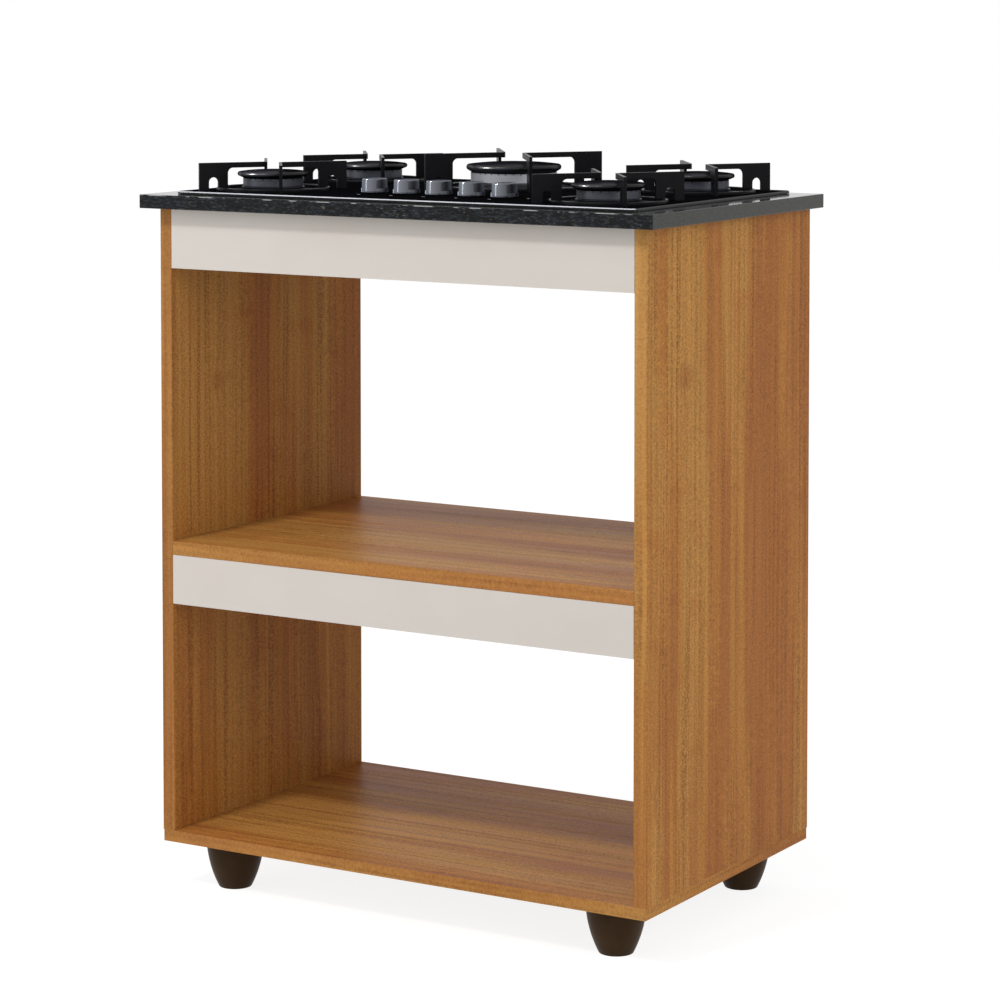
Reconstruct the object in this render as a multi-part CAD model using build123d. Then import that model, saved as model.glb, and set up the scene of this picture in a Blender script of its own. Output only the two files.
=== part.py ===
from build123d import *
from math import atan2, cos, degrees, hypot, pi, radians, sin
from types import SimpleNamespace
import os

# A base cabinet of coated board with two open bays, and a five-burner gas cooktop in its worktop.
# Sizes are in millimetres. X runs along the front, +Y to the back and +Z up.
# The origin lies on the floor, under the middle of the worktop.

# Carcass
carcass_width = 720.0
carcass_depth = 444.0
side_thickness = 18.0
side_height = 817.0
base_thickness = 15.0
base_end_inset = 1.0
shelf_thickness = 18.0
rail_thickness = 18.0
lower_rail_height = 64.0
lower_bay_clear_height = 300.0
upper_rail_height = 78.0
rear_upper_rail_height = 52.0
board_edge_radius = 0.8

# Worktop
worktop_thickness = 18.0
worktop_side_overhang = 18.0
worktop_front_overhang = 21.0
worktop_rear_overhang = 3.0
worktop_edge_radius = 1.0

# Feet, moulded as hollow tapered cups
foot_height = 63.0
foot_top_radius = 38.0
foot_middle_radius = 30.8
foot_middle_height = 22.5
foot_bottom_radius = 21.4
foot_wall = 2.5
foot_side_inset = 73.6
foot_front_inset = 58.8
foot_rear_inset = 46.2
foot_boss_radius = 8.0
foot_rib_thickness = 2.0
foot_pocket_radius = 5.5
foot_pocket_depth = 44.0
foot_edge_radius = 1.2

# Fasteners of the carcass
fit_gap = 0.1
dowel_radius = 4.0
dowel_length = 30.0
dowel_depth_in_side = 11.0
dowel_chamfer = 0.8
cam_radius = 7.5
cam_depth = 12.5
cam_setback = 24.0
cam_cross_slot = (8.0, 1.6, 2.0)
bolt_radius = 3.0
bolt_thread_radius = 2.5
bolt_depth_in_side = 11.0
bolt_head_length = 4.0
rail_fastener_pitch = 32.0
shelf_fastener_inset = 50.0
shelf_fastener_pitch = 32.0
base_screw_radius = 2.2
base_screw_length = 50.0
base_screw_head_radius = 4.2
base_screw_head_height = 3.0
base_screw_rows = 3
base_screw_end_inset = 40.0
foot_screw_length = 30.0
bracket_leg = 14.0
bracket_width = 16.0
bracket_thickness = 2.0
short_screw_radius = 1.8
short_screw_head_radius = 3.4
short_screw_head_height = 1.8
short_screw_length = 14.0
bracket_end_inset = 40.0
bracket_hole_offset = 8.4

# Cooktop plate, seal and under-tray
plate_side_setback = 38.4
plate_front_setback = 26.7
plate_rear_setback = 17.0
plate_thickness = 3.5
plate_corner_radius = 8.0
plate_bevel = 1.2
seal_thickness = 0.5
seal_width = 7.0
seal_edge_inset = 1.5
cutout_margin = 18.0
cutout_corner_radius = 10.0
tray_flange_gap = 1.0
tray_flange_width = 8.0
tray_metal = 1.2
tray_depth = 44.0
tray_corner_radius = 8.0
tray_vent_count = 9
tray_vent_pitch = 14.0
tray_vent_size = (4.0, 46.0)
tray_vent_setback = 10.0
tray_vent_end_inset = 60.0
tray_inlet_gap = 1.5
clamp_end_inset = 106.0
clamp_width = 20.0
clamp_thickness = 2.0
clamp_drop = 16.0
clamp_reach = 12.0

# Burners: place of each, measured from the nearest edges of the plate
burner_side_inset = 88.6
front_burner_inset = 94.3
rear_burner_inset = 91.0
centre_burner_inset = 136.0
burner_seat_gap = 0.2
cup_wall = 2.7
cup_floor = 3.0
cup_flange_overhang = 1.7
cup_hole_gap = 1.5
injector_radius = 5.0
injector_height = 14.0
injector_bore_radius = 0.8
crown_wall = 4.3
crown_floor = 2.4
crown_slot_width = 1.2
crown_slot_depth = 1.8
crown_edge = 1.0
throat_drop = 3.0
cap_seat_inset = 1.5
cap_rim_start = (1.2, 0.30)
cap_rim_nose = 0.52
cap_shoulder = (2.2, 0.80)
cap_crest = (0.72, 0.93)
cap_flat = 0.5
spigot_depth = 8.0
spigot_wall = 2.4
spigot_gap = 0.35
throat_radius = 8.0
throat_wall = 2.0
throat_depth = 16.0
dish_metal = 1.0
dish_rim_gap = 0.8
dish_cup_gap = 0.4
dish_collar = 5.0
cap_rim_depth = 2.6
cap_rim_width = 3.0
cap_rim_gap = 0.5

# Pan supports: each is two bent strips on a low ring
strip_thickness = 4.0
strip_leg_length = 39.0
strip_arm_height = 7.0
strip_corner_radius = 7.0
strip_bend_radius = 3.0
arch_width = 13.0
arch_height = 17.0
inner_foot_gap = 0.4
ring_width = 7.0
ring_height = 3.7
ring_edge_radius = 1.6
ring_setback = 25.25

small = SimpleNamespace(
    cup_radius=28.0, base_height=4.3, crown_radius=39.3, crown_height=10.9, crown_slots=24,
    cap_radius=46.5, cap_height=10.4, dish_height=4.0,
    support_reach_x=64.7, support_reach_y=75.0, support_vertex=11.5, support_height=36.0)
large = SimpleNamespace(
    cup_radius=40.0, base_height=7.8, crown_radius=57.0, crown_height=12.8, crown_slots=36,
    cap_radius=62.8, cap_height=13.0, dish_height=6.5,
    support_reach_x=80.5, support_reach_y=92.5, support_vertex=15.0, support_height=46.5)

# Gas taps and knobs
knob_pitch = 48.7
knob_front_inset = 102.3
knob_base_radius = 17.4
knob_top_radius = 16.8
knob_ledge_height = 4.9
knob_height = 17.4
knob_grip_width = 22.0
knob_grip_edge = 1.2
knob_edge_radius = 1.6
knob_relief_depth = 1.2
knob_relief_gap = 2.0
knob_shaft_depth = 12.0
knob_push = 1.2
knob_push_gap = 0.3
shaft_radius = 3.0
shaft_flat = 2.2
shaft_fit = 0.05
spindle_radius = 4.0
spindle_hole_gap = 2.0
spindle_top_above_plate = 2.2
tongue_width = 2.0
tongue_length = 6.6
tongue_engagement = 2.9
plug_radius = 5.0
plug_height = 8.0
plug_port_radius = 0.8
plug_slot_depth = 6.0
tap_body_size = (20.0, 24.0)
tap_neck_radius = 9.0
tap_neck_height = 8.0
tap_lid = 4.0
tap_floor = 3.4
tongue_height = 4.0
tap_outlet_radius = 5.0
tap_outlet_length = 10.0
tap_outlet_bore_radius = 3.05

# Gas pipes inside the tray
manifold_radius = 8.0
manifold_end_cap = 2.0
manifold_wall = 1.5
manifold_end_reach = 30.0
manifold_foot_height = 3.0
manifold_foot_size = (12.0, 14.0)
feed_radius = 3.0
feed_wall = 0.6
feed_start_gap = 3.0
feed_bend_radius = 12.0
feed_height_over_tray = 24.0
near_feed_run = 42.0
far_feed_run = 82.0
inlet_pipe_wall = 1.0
inlet_bend_radius = 14.0
inlet_run = 34.6
inlet_rear_inset = 54.0
inlet_rail_gap = 5.0
inlet_hex_width = 24.0
inlet_hex_height = 8.0
inlet_thread_radius = 10.48
inlet_thread_length = 16.0
inlet_thread_chamfer = 1.0
inlet_pipe_insertion = 12.0
inlet_straight = 2.0

# Levels and lines worked out from the sizes above
worktop_width = carcass_width + 2 * worktop_side_overhang
worktop_depth = carcass_depth + worktop_front_overhang + worktop_rear_overhang
carcass_front = worktop_front_overhang - worktop_depth / 2
carcass_back = carcass_front + carcass_depth
inner_half_width = carcass_width / 2 - side_thickness
base_top = foot_height + base_thickness
side_top = base_top + side_height
worktop_top = side_top + worktop_thickness
lower_rail_bottom = base_top + lower_bay_clear_height
shelf_bottom = lower_rail_bottom + lower_rail_height
shelf_top = shelf_bottom + shelf_thickness
upper_rail_bottom = side_top - upper_rail_height
rear_upper_rail_bottom = side_top - rear_upper_rail_height
plate_bottom = worktop_top + seal_thickness
plate_top = plate_bottom + plate_thickness
plate_half_width = worktop_width / 2 - plate_side_setback
plate_front = plate_front_setback - worktop_depth / 2
plate_back = worktop_depth / 2 - plate_rear_setback
cutout_half_width = plate_half_width - cutout_margin
cutout_front = plate_front + cutout_margin
cutout_back = plate_back - cutout_margin
tray_bottom = plate_bottom - tray_depth
tray_floor = tray_bottom + tray_metal
tray_half_width = cutout_half_width - tray_flange_gap - tray_flange_width
tray_front = cutout_front + tray_flange_gap + tray_flange_width
tray_back = cutout_back - tray_flange_gap - tray_flange_width
manifold_level = tray_floor + manifold_foot_height + manifold_radius
feed_level = tray_floor + feed_height_over_tray
inlet_pipe_radius = manifold_radius - manifold_wall - shaft_fit
inlet_y = plate_back - inlet_rear_inset
inlet_level = rear_upper_rail_bottom - inlet_rail_gap - inlet_thread_radius
clamp_rows = (cutout_front + clamp_end_inset, cutout_back - clamp_end_inset)
tap_bore_floor = manifold_level + manifold_radius + tap_floor
plug_top = tap_bore_floor + burner_seat_gap + plug_height
spindle_bottom = plug_top + knob_push + burner_seat_gap
tap_lid_bottom = spindle_bottom + tongue_height
tap_top = tap_lid_bottom + tap_lid
knob_bottom = plate_top + knob_push + knob_push_gap
knob_y = plate_front + knob_front_inset

burner_x = plate_half_width - burner_side_inset
front_row = plate_front + front_burner_inset
rear_row = plate_back - rear_burner_inset
centre_row = plate_back - centre_burner_inset
burners = (
    SimpleNamespace(name="left_front", size=small, x=-burner_x, y=front_row),
    SimpleNamespace(name="left_rear", size=small, x=-burner_x, y=rear_row),
    SimpleNamespace(name="centre", size=large, x=0.0, y=centre_row),
    SimpleNamespace(name="right_rear", size=small, x=burner_x, y=rear_row),
    SimpleNamespace(name="right_front", size=small, x=burner_x, y=front_row))
knob_xs = [(k - (len(burners) - 1) / 2) * knob_pitch for k in range(len(burners))]
inlet_start = knob_xs[-1] + manifold_end_reach - inlet_pipe_insertion
inlet_x = inlet_start + inlet_run


def block(x0, x1, y0, y1, z0, z1):
    """A box between two opposite corners."""
    return Pos((x0 + x1) / 2, (y0 + y1) / 2, (z0 + z1) / 2) * Box(x1 - x0, y1 - y0, z1 - z0)


def rod(x, y, z0, z1, radius):
    """An upright cylinder from z0 to z1."""
    return Pos(x, y, (z0 + z1) / 2) * Cylinder(radius, z1 - z0)


def cross_rod(x0, x1, y, z, radius):
    """A cylinder that lies along X from x0 to x1."""
    return Pos((x0 + x1) / 2, y, z) * Rot(0, 90, 0) * Cylinder(radius, abs(x1 - x0))


def deep_rod(x, y0, y1, z, radius):
    """A cylinder that lies along Y from y0 to y1."""
    return Pos(x, (y0 + y1) / 2, z) * Rot(90, 0, 0) * Cylinder(radius, abs(y1 - y0))


def turned(*points):
    """A solid of revolution about Z from corner points given as (radius, height)."""
    profile = Polyline(*[(r, 0, z) for r, z in points], close=True)
    return revolve(make_face(profile), Axis.Z, 360)


def plate_blank(half_width, front, back, corner_radius, z0, z1):
    """A slab with rounded corners seen from above."""
    sketch = Pos(0, (front + back) / 2, z0) * RectangleRounded(2 * half_width, back - front, corner_radius)
    return extrude(sketch, z1 - z0)


def solids(shape):
    """The separate solids of a shape as a plain list."""
    return list(shape.solids())


def save(name, *shapes):
    """Write one node: a single solid, or a group of separate solids."""
    bodies = [body for shape in shapes for body in solids(shape)]
    node = bodies[0] if len(bodies) == 1 else Compound(children=bodies)
    node.label = name
    export_step(node, os.path.join("parts", name + ".step"))


# Joints between boards: each lists where a rail's or the shelf's fasteners cross into a side


def rail_heights(bottom, height):
    """Levels of a rail's dowel and cam, spaced evenly about its middle."""
    middle = bottom + height / 2
    return middle + rail_fastener_pitch / 2, middle - rail_fastener_pitch / 2


def rail_joints():
    """(y, z, kind, cam face) for each fastener at the end of a rail."""
    joints = []
    rails = (
        (carcass_front, upper_rail_bottom, upper_rail_height, 1),
        (carcass_front, lower_rail_bottom, lower_rail_height, 1),
        (carcass_back - rail_thickness, rear_upper_rail_bottom, rear_upper_rail_height, -1),
        (carcass_back - rail_thickness, lower_rail_bottom, lower_rail_height, -1))
    for front, bottom, height, inward in rails:
        dowel_z, cam_z = rail_heights(bottom, height)
        y = front + rail_thickness / 2
        joints.append((y, dowel_z, "dowel", inward))
        joints.append((y, cam_z, "cam", inward))
    return joints


def shelf_joints():
    """(y, z, kind) for each fastener at an end of the shelf."""
    z = shelf_bottom + shelf_thickness / 2
    front_cam = carcass_front + shelf_fastener_inset
    back_cam = carcass_back - shelf_fastener_inset
    return [(front_cam, z, "cam"), (front_cam + shelf_fastener_pitch, z, "dowel"),
            (back_cam - shelf_fastener_pitch, z, "dowel"), (back_cam, z, "cam")]


def base_screw_rows_y():
    """Places along the depth of the screws that hold a side to the base."""
    span = carcass_depth - 2 * base_screw_end_inset
    step = span / (base_screw_rows - 1)
    return [carcass_front + base_screw_end_inset + k * step for k in range(base_screw_rows)]


def foot_centres():
    """Centres of the four feet with their node names."""
    x = carcass_width / 2 - foot_side_inset
    front = carcass_front + foot_front_inset
    back = carcass_back - foot_rear_inset
    return (("foot_front_left", -x, front), ("foot_front_right", x, front),
            ("foot_rear_left", -x, back), ("foot_rear_right", x, back))


# Boards


def side_panel(hand):
    """One side board, standing on the base, bored for the fasteners of rails and shelf."""
    outer = hand * carcass_width / 2
    inner = hand * inner_half_width
    board = block(min(outer, inner), max(outer, inner), carcass_front, carcass_back, base_top, side_top)
    board = fillet(board.edges().filter_by(Axis.Z), board_edge_radius)
    holes = []
    for y, z, kind, *_ in rail_joints() + shelf_joints():
        depth = dowel_depth_in_side if kind == "dowel" else bolt_depth_in_side
        radius = (dowel_radius if kind == "dowel" else bolt_thread_radius) + fit_gap
        holes.append(cross_rod(inner, inner + hand * (depth + fit_gap), y, z, radius))
    for y in base_screw_rows_y():
        middle = (outer + inner) / 2
        depth = base_screw_length - base_thickness + 1
        holes.append(rod(middle, y, base_top, base_top + depth, base_screw_radius + fit_gap))
    holes += [place * short_screw_bore() for place in bracket_side_places(hand)]
    return board - holes


def base_panel():
    """The board under the sides, with holes for the screws that enter the sides."""
    half = carcass_width / 2 - base_end_inset
    board = block(-half, half, carcass_front, carcass_back, foot_height, base_top)
    board = fillet(board.edges().filter_by(Axis.Z), board_edge_radius)
    holes = []
    for hand in (-1, 1):
        x = hand * (carcass_width - side_thickness) / 2
        for y in base_screw_rows_y():
            holes.append(rod(x, y, foot_height, base_top, base_screw_radius + fit_gap))
            holes.append(rod(x, y, foot_height, foot_height + base_screw_head_height + fit_gap,
                             base_screw_head_radius + fit_gap))
    for _, x, y in foot_centres():
        depth = foot_screw_length - (foot_height - foot_pocket_depth) + 1
        holes.append(rod(x, y, foot_height, foot_height + depth, base_screw_radius + fit_gap))
    return board - holes


def end_bores(joints, face_of):
    """Bores for dowels, cam bolts and cam housings at both ends of a board.

    face_of gives the two corners in Y and Z of a cam's pocket, as a ready-made cutter at x.
    """
    cutters = []
    for y, z, kind, *rest in joints:
        for hand in (-1, 1):
            end = hand * inner_half_width
            if kind == "dowel":
                depth = dowel_length - dowel_depth_in_side + fit_gap
                cutters.append(cross_rod(end, end - hand * depth, y, z, dowel_radius + fit_gap))
            else:
                cutters.append(cross_rod(end, end - hand * cam_setback, y, z, bolt_radius + fit_gap))
                cutters.append(face_of(end - hand * cam_setback, y, z, fit_gap))
    return cutters


def rail_cam(front, inward):
    """A maker of the cam cylinder that enters a rail from its hidden face."""
    face = front + rail_thickness if inward > 0 else front

    def make(x, y, z, gap):
        return deep_rod(x, face, face - inward * (cam_depth + gap), z, cam_radius + gap)
    return make


def shelf_cam(x, y, z, gap):
    """The cam cylinder that enters the shelf from below."""
    return rod(x, y, shelf_bottom, shelf_bottom + cam_depth + gap, cam_radius + gap)


def rail(front, bottom, height, inward):
    """A rail between the sides, with its fastener bores."""
    board = block(-inner_half_width, inner_half_width, front, front + rail_thickness, bottom, bottom + height)
    dowel_z, cam_z = rail_heights(bottom, height)
    y = front + rail_thickness / 2
    joints = [(y, dowel_z, "dowel"), (y, cam_z, "cam")]
    return board - end_bores(joints, rail_cam(front, inward))


def middle_shelf():
    """The shelf between the bays, with its fastener bores."""
    board = block(-inner_half_width, inner_half_width, carcass_front, carcass_back, shelf_bottom, shelf_top)
    board = fillet(board.edges().filter_by(Axis.X), board_edge_radius)
    return board - end_bores(shelf_joints(), shelf_cam)


def worktop():
    """The worktop, cut out for the cooktop."""
    board = block(-worktop_width / 2, worktop_width / 2, -worktop_depth / 2, worktop_depth / 2,
                  side_top, worktop_top)
    board = fillet(board.edges(), worktop_edge_radius)
    cutout = plate_blank(cutout_half_width, cutout_front, cutout_back, cutout_corner_radius,
                         side_top - 1, worktop_top + 1)
    return board - cutout - [place * short_screw_bore() for place in bracket_top_places()]


# Carcass fasteners


def wood_dowels():
    """A dowel in every dowel bore, from the side into the rail or shelf."""
    pins = []
    for y, z, kind, *_ in rail_joints() + shelf_joints():
        if kind != "dowel":
            continue
        for hand in (-1, 1):
            outer = hand * (inner_half_width + dowel_depth_in_side)
            pin = cross_rod(outer, outer - hand * dowel_length, y, z, dowel_radius)
            pins.append(chamfer(pin.edges().filter_by(GeomType.CIRCLE), dowel_chamfer))
    return pins


def cam_bolts():
    """The bolt at every cam: thread in the side, shank and head in the rail or shelf."""
    bolts = []
    for y, z, kind, *_ in rail_joints() + shelf_joints():
        if kind != "cam":
            continue
        for hand in (-1, 1):
            face = hand * inner_half_width
            neck = face - hand * (cam_setback - cam_radius)
            head = neck - hand * bolt_head_length
            bolt = cross_rod(face + hand * bolt_depth_in_side, face, y, z, bolt_thread_radius)
            bolt += cross_rod(face, neck, y, z, bolt_radius)
            bolt += cross_rod(neck, head, y, z, bolt_thread_radius)
            bolts.append(bolt)
    return bolts


def cam_locks():
    """The turning cam of every cam joint: a short drum with a cross slot and a bolt pocket."""
    drums = []
    sites = [(y, z, rail_cam(y - rail_thickness / 2, inward), inward)
             for y, z, kind, inward in rail_joints() if kind == "cam"]
    sites += [(y, z, shelf_cam, 0) for y, z, kind in shelf_joints() if kind == "cam"]
    for y, z, make, inward in sites:
        for hand in (-1, 1):
            x = hand * (inner_half_width - cam_setback)
            drum = make(x, y, z, 0)
            pocket = cross_rod(x, x + hand * (cam_radius + 1), y, z, bolt_radius + fit_gap)
            length, width, depth = cam_cross_slot
            if inward:
                face = y + inward * rail_thickness / 2
                slots = [Pos(x, face, z) * Box(length, 2 * depth, width),
                         Pos(x, face, z) * Box(width, 2 * depth, length)]
            else:
                slots = [Pos(x, y, shelf_bottom) * Box(length, width, 2 * depth),
                         Pos(x, y, shelf_bottom) * Box(width, length, 2 * depth)]
            drums.append(drum - pocket - slots)
    return drums


def base_screws():
    """Screws up through the base into the sides."""
    screws = []
    for hand in (-1, 1):
        x = hand * (carcass_width - side_thickness) / 2
        for y in base_screw_rows_y():
            head = rod(x, y, foot_height, foot_height + base_screw_head_height, base_screw_head_radius)
            screws.append(head + rod(x, y, foot_height, foot_height + base_screw_length, base_screw_radius))
    return screws


def foot_screws():
    """One screw up through the pocket of each foot into the base."""
    screws = []
    for _, x, y in foot_centres():
        head_bottom = foot_pocket_depth - base_screw_head_height
        head = rod(x, y, head_bottom, foot_pocket_depth, base_screw_head_radius)
        shank = rod(x, y, foot_pocket_depth, foot_pocket_depth + foot_screw_length, base_screw_radius)
        screws.append(head + shank)
    return screws


def short_screw():
    """A short pan-head screw that points up, with the underside of its head at the origin."""
    head = rod(0, 0, -short_screw_head_height, 0, short_screw_head_radius)
    return head + rod(0, 0, 0, short_screw_length, short_screw_radius)


def short_screw_bore():
    """The hole for a short screw's shank."""
    return rod(0, 0, 0, short_screw_length + fit_gap, short_screw_radius + fit_gap)


def bracket_rows():
    """Places along the depth of the brackets under the worktop."""
    return carcass_front + bracket_end_inset, carcass_back - bracket_end_inset


def bracket_side_places(hand):
    """Where screws pass from the brackets into one side."""
    x = hand * (inner_half_width - bracket_thickness)
    return [Pos(x, y, side_top - bracket_hole_offset) * Rot(0, hand * 90, 0) for y in bracket_rows()]


def bracket_top_places():
    """Where screws pass from the brackets up into the worktop."""
    x = inner_half_width - bracket_hole_offset
    return [Pos(hand * x, y, side_top - bracket_thickness) for hand in (-1, 1) for y in bracket_rows()]


def worktop_brackets():
    """Angle brackets under the worktop, in the corner with each side."""
    brackets = []
    bores = [place * short_screw_bore() for hand in (-1, 1) for place in bracket_side_places(hand)]
    bores += [place * short_screw_bore() for place in bracket_top_places()]
    for hand in (-1, 1):
        for y in bracket_rows():
            x = hand * inner_half_width
            y0, y1 = y - bracket_width / 2, y + bracket_width / 2
            inner = x - hand * bracket_leg
            thin = x - hand * bracket_thickness
            upright = block(min(x, thin), max(x, thin), y0, y1, side_top - bracket_leg, side_top)
            flat = block(min(x, inner), max(x, inner), y0, y1, side_top - bracket_thickness, side_top)
            brackets.append(upright + flat - bores)
    return brackets


def clamp_screw_places():
    """Where screws pass through the clamps into the walls of the cooktop's tray."""
    x = tray_half_width + clamp_thickness
    return [Pos(hand * x, row, side_top - clamp_drop / 2) * Rot(0, -hand * 90, 0)
            for hand in (-1, 1) for row in clamp_rows]


def short_screws():
    """The screws of the brackets and the clamps, all alike."""
    places = bracket_side_places(-1) + bracket_side_places(1) + bracket_top_places() + clamp_screw_places()
    return [place * short_screw() for place in places]


# Feet


def foot(x, y):
    """A moulded foot: a tapered cup with a curved wall, a screw boss and four ribs inside."""
    wall = ThreePointArc((foot_bottom_radius, 0, 0), (foot_middle_radius, 0, foot_middle_height),
                         (foot_top_radius, 0, foot_height))
    core = Polyline(wall @ 1, (0, 0, foot_height), (0, 0, 0), wall @ 0)
    outer = revolve(make_face(Wire([wall.edge(), *core.edges()])), Axis.Z, 360)
    hollow = turned((0, foot_wall), (foot_bottom_radius - foot_wall, foot_wall),
                    (foot_middle_radius - foot_wall, foot_middle_height),
                    (foot_top_radius - foot_wall, foot_height), (0, foot_height))
    ribs = [Rot(0, 0, turn) * block(-foot_top_radius, foot_top_radius, -foot_rib_thickness / 2,
                                    foot_rib_thickness / 2, 0, foot_height) for turn in (0, 90)]
    hollow = hollow - ribs - rod(0, 0, 0, foot_height, foot_boss_radius)
    cup = outer - hollow - rod(0, 0, 0, foot_pocket_depth, foot_pocket_radius)
    cup = cup - rod(0, 0, foot_pocket_depth, foot_height, base_screw_radius + fit_gap)
    rounds = cup.edges().filter_by(GeomType.CIRCLE)
    rim = rounds.filter_by(lambda edge: abs(edge.radius - foot_bottom_radius) < 0.01)
    return Pos(x, y, 0) * fillet(rim, foot_edge_radius)


# Cooktop plate, seal and tray


def cooktop_plate():
    """The black plate, bevelled along its top edge and bored for burners and spindles."""
    plate = plate_blank(plate_half_width, plate_front, plate_back, plate_corner_radius,
                        plate_bottom, plate_top)
    plate = chamfer(plate.faces().sort_by(Axis.Z)[-1].edges(), plate_bevel)
    holes = [rod(b.x, b.y, plate_bottom - 1, plate_top + 1, b.size.cup_radius + cup_hole_gap)
             for b in burners]
    holes += [rod(x, knob_y, plate_bottom - 1, plate_top + 1, spindle_radius + spindle_hole_gap)
              for x in knob_xs]
    return plate - holes


def cooktop_seal():
    """The foam seal between the plate's edge and the worktop."""
    outer = plate_half_width - seal_edge_inset
    front, back = plate_front + seal_edge_inset, plate_back - seal_edge_inset
    ring = plate_blank(outer, front, back, plate_corner_radius, worktop_top, plate_bottom)
    return ring - plate_blank(outer - seal_width, front + seal_width, back - seal_width,
                              plate_corner_radius / 2, worktop_top - 1, plate_bottom + 1)


def cooktop_tray():
    """The pressed tray under the plate: a flange, four walls, and a floor with vents."""
    flange = plate_blank(tray_half_width + tray_flange_width, tray_front - tray_flange_width,
                         tray_back + tray_flange_width, tray_corner_radius,
                         plate_bottom - tray_metal, plate_bottom)
    shell = plate_blank(tray_half_width, tray_front, tray_back, tray_corner_radius, tray_bottom, plate_bottom)
    hollow = plate_blank(tray_half_width - tray_metal, tray_front + tray_metal, tray_back - tray_metal,
                         tray_corner_radius - tray_metal, tray_floor, plate_bottom + 1)
    vents = []
    for hand in (-1, 1):
        for k in range(tray_vent_count):
            x = hand * (tray_half_width - tray_vent_end_inset - k * tray_vent_pitch)
            y = (tray_front + tray_back) / 2 - tray_vent_setback
            vents.append(Pos(x, y, tray_bottom) * Box(tray_vent_size[0], tray_vent_size[1], 4 * tray_metal))
    inlet = rod(inlet_x, inlet_y, tray_bottom - 1, tray_floor + 1,
                inlet_pipe_radius + tray_inlet_gap)
    screw_bores = [place * short_screw_bore() for place in clamp_screw_places()]
    return flange + shell - hollow - vents - inlet - screw_bores


def cooktop_clamps():
    """Angle clamps from the tray's walls to the underside of the worktop."""
    clamps = []
    bores = [place * short_screw_bore() for place in clamp_screw_places()]
    for hand in (-1, 1):
        for row in clamp_rows:
            wall = hand * tray_half_width
            thin = wall + hand * clamp_thickness
            tip = hand * (cutout_half_width + clamp_reach)
            y0, y1 = row - clamp_width / 2, row + clamp_width / 2
            upright = block(min(wall, thin), max(wall, thin), y0, y1, side_top - clamp_drop, side_top)
            arm = block(min(wall, tip), max(wall, tip), y0, y1, side_top - clamp_thickness, side_top)
            clamps.append(upright + arm - bores)
    return clamps


# Burners


def burner_cup(burner):
    """The fixed cup: flange on the plate, deep body on the tray's floor, and the gas injector."""
    size = burner.size
    top = plate_top + size.base_height
    outer = size.cup_radius
    flange = size.crown_radius + cup_flange_overhang
    cup = turned((0, tray_floor), (outer, tray_floor), (outer, plate_top), (flange, plate_top),
                 (flange, top), (outer - cup_wall, top), (outer - cup_wall, tray_floor + cup_floor),
                 (injector_radius, tray_floor + cup_floor),
                 (injector_radius, tray_floor + cup_floor + injector_height),
                 (injector_bore_radius, tray_floor + cup_floor + injector_height),
                 (injector_bore_radius, tray_floor + cup_floor), (0, tray_floor + cup_floor))
    return Pos(burner.x, burner.y, 0) * cup


def burner_crown(burner):
    """The crown that spreads the gas: a slotted ring, a floor, a spigot and a throat."""
    size = burner.size
    bottom = plate_top + size.base_height + burner_seat_gap
    top = bottom + size.crown_height
    spigot = size.cup_radius - cup_wall - spigot_gap
    inner = size.crown_radius - crown_wall
    crown = turned((throat_radius, bottom - throat_depth),
                   (throat_radius + throat_wall, bottom - throat_depth),
                   (throat_radius + throat_wall, bottom),
                   (spigot - spigot_wall, bottom), (spigot - spigot_wall, bottom - spigot_depth),
                   (spigot, bottom - spigot_depth), (spigot, bottom),
                   (size.crown_radius - crown_edge, bottom), (size.crown_radius, bottom + crown_edge),
                   (size.crown_radius, top), (inner, top),
                   (inner, bottom + crown_floor), (throat_radius + throat_wall, bottom + crown_floor),
                   (throat_radius + throat_wall, top - throat_drop), (throat_radius, top - throat_drop))
    slots = [Rot(0, 0, k * 360 / size.crown_slots) * Pos(size.crown_radius - crown_wall / 2, 0, top)
             * Box(crown_wall + 2, crown_slot_width, 2 * crown_slot_depth) for k in range(size.crown_slots)]
    return Pos(burner.x, burner.y, 0) * (crown - slots)


def burner_cap(burner):
    """The cap: a low mushroom with a rounded rim, located by a ring inside the crown."""
    size = burner.size
    bottom = plate_top + size.base_height + size.crown_height + 2 * burner_seat_gap
    rim_outer = size.crown_radius - crown_wall - cap_rim_gap
    r, h = size.cap_radius, size.cap_height
    seat = size.crown_radius - cap_seat_inset
    points = [(0, 0, bottom), (rim_outer - cap_rim_width, 0, bottom),
              (rim_outer - cap_rim_width, 0, bottom - cap_rim_depth), (rim_outer, 0, bottom - cap_rim_depth),
              (rim_outer, 0, bottom), (seat, 0, bottom),
              (r - cap_rim_start[0], 0, bottom + cap_rim_start[1] * h)]
    shoulder = (r - cap_shoulder[0], 0, bottom + cap_shoulder[1] * h)
    under = Polyline(*points)
    nose = ThreePointArc(points[-1], (r, 0, bottom + cap_rim_nose * h), shoulder)
    crest = ThreePointArc(shoulder, (cap_crest[0] * r, 0, bottom + cap_crest[1] * h),
                           (cap_flat * r, 0, bottom + h))
    top = Polyline(crest @ 1, (0, 0, bottom + h), points[0])
    outline = Wire([*under.edges(), nose.edge(), crest.edge(), *top.edges()])
    return Pos(burner.x, burner.y, 0) * revolve(make_face(outline), Axis.Z, 360)


def ring_outer_radius(size):
    """Outer radius of a pan support's ring, set in from its outer feet."""
    return hypot(size.support_reach_x, size.support_reach_y) - ring_setback


def dish_profile(size):
    """(radius, height) over the plate along the top of a drip dish, from its rim to its neck."""
    rim = ring_outer_radius(size) - ring_width - dish_rim_gap
    neck = size.crown_radius + cup_flange_overhang + dish_cup_gap
    return (rim, dish_metal), (neck + dish_collar, size.dish_height), (neck, size.dish_height)


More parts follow.
